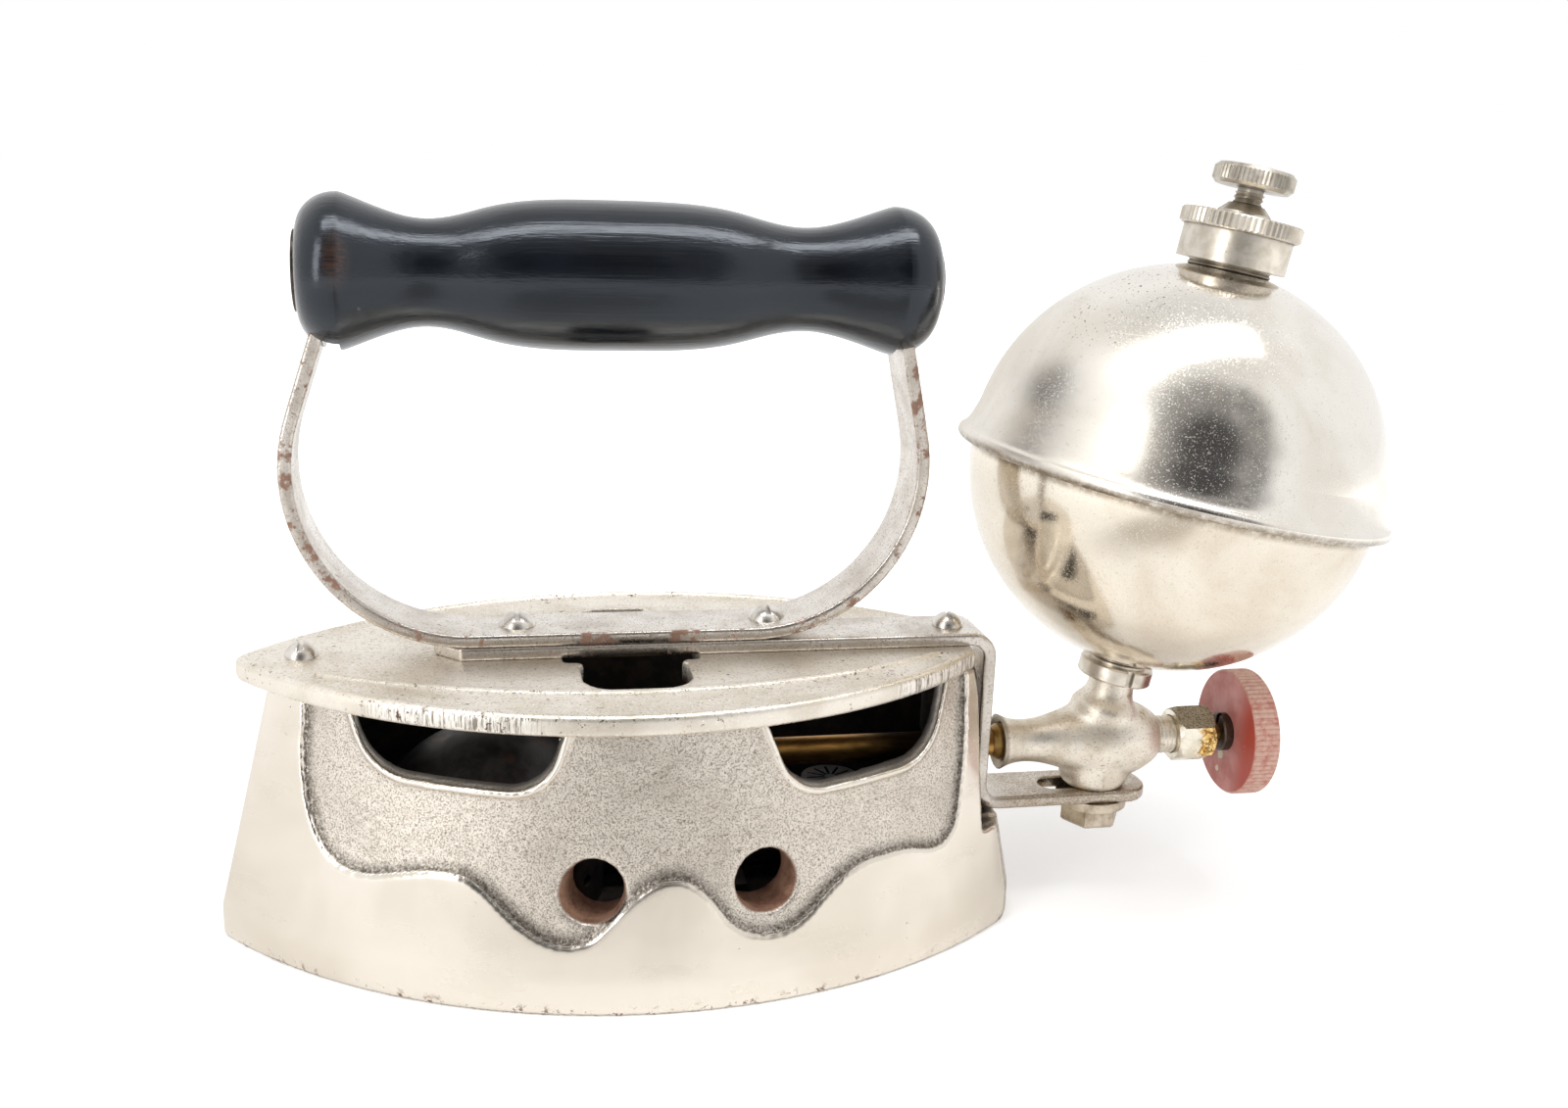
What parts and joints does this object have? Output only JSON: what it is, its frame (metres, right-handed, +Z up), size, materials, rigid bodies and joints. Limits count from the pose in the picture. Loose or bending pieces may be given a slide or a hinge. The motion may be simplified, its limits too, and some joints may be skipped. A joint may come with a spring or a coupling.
{
  "type": "flat iron",
  "caption": "Self-heating flat iron: hollow cast body with side windows, a strap that carries a turned wooden grip, and a ball-shaped fuel tank with valve, wheel and filler cap behind the heel.",
  "frame": {"origin": "middle of the sole's face", "axes": "+X towards the heel and the tank, -X towards the nose, +Z up from the sole"},
  "size_m": [0.2576, 0.0982, 0.1693],
  "materials": {
    "body": "nickel plated, polished lower band, rough-cast side panels",
    "plate": "nickel plated, finely pitted",
    "bars": "nickel plated, worn, rust at the edges",
    "screws": "worn nickel plate",
    "dark_steel": "blackened",
    "grip": "glossy blue-black paint on turned wood",
    "tank": "polished nickel plate",
    "fittings": "nickel plated brass, satin",
    "brass": "bare brass, aged",
    "gasket": "pressed fibre",
    "packing": "graphited cord",
    "wheel": "dull red, worn bare on the ribs",
    "burner": "burnt dark"
  },
  "bodies": {
    "iron": {"body_casting": "body", "top_plate": "plate", "handle_strap": "bars", "tank_bracket": "bars", "nose_screw": "screws", "strap_screws": "screws", "bracket_screw": "screws", "grip": "grip", "grip_rod": "screws", "grip_washers": "dark_steel", "tank_upper_shell": "tank", "tank_lower_shell": "tank", "filler_neck": "fittings", "outlet_spud": "fittings", "tank_collar": "fittings", "valve_body": "fittings", "generator_tube": "brass", "tube_ferrule": "brass", "stem_packing": "packing", "packing_nut": "brass", "valve_bolt": "screws", "bolt_washer": "screws", "generator_block": "brass", "jet_nipple": "brass", "burner_body": "burner", "burner_cap": "burner", "burner_screws": "dark_steel"},
    "cap_lift": {"cap_gasket": "gasket"},
    "filler_cap": {"filler_cap": "fittings", "vent_gland": "fittings"},
    "vent_screw": {"vent_screw": "fittings"},
    "needle": {"valve_stem": "brass", "wheel_nut": "dark_steel", "hand_wheel": "wheel", "wheel_screw": "screws"}
  },
  "joints": [
    {"name": "cap_rise", "type": "slide", "parent": "iron", "child": "cap_lift", "axis": [0.1874, 0, 0.9823], "range_m": [0, 0.0061]},
    {"name": "cap_turn", "type": "hinge", "parent": "cap_lift", "child": "filler_cap", "pos_m": [0.12287, 0, 0.1012], "axis": [0.1874, 0, 0.9823], "range_deg": [0, 2160]},
    {"name": "vent_turn", "type": "hinge", "parent": "filler_cap", "child": "vent_screw", "pos_m": [0.12287, 0, 0.1012], "axis": [0.1874, 0, 0.9823], "range_deg": [0, 540]},
    {"name": "valve_turn", "type": "hinge", "parent": "iron", "child": "needle", "pos_m": [0.14, 0, 0.0369], "axis": [1, 0, 0], "range_deg": [0, 720]}
  ],
  "couplings": [
    {"joint": "cap_rise", "follows": "cap_turn", "m_per_rad": 0.00015915}
  ]
}
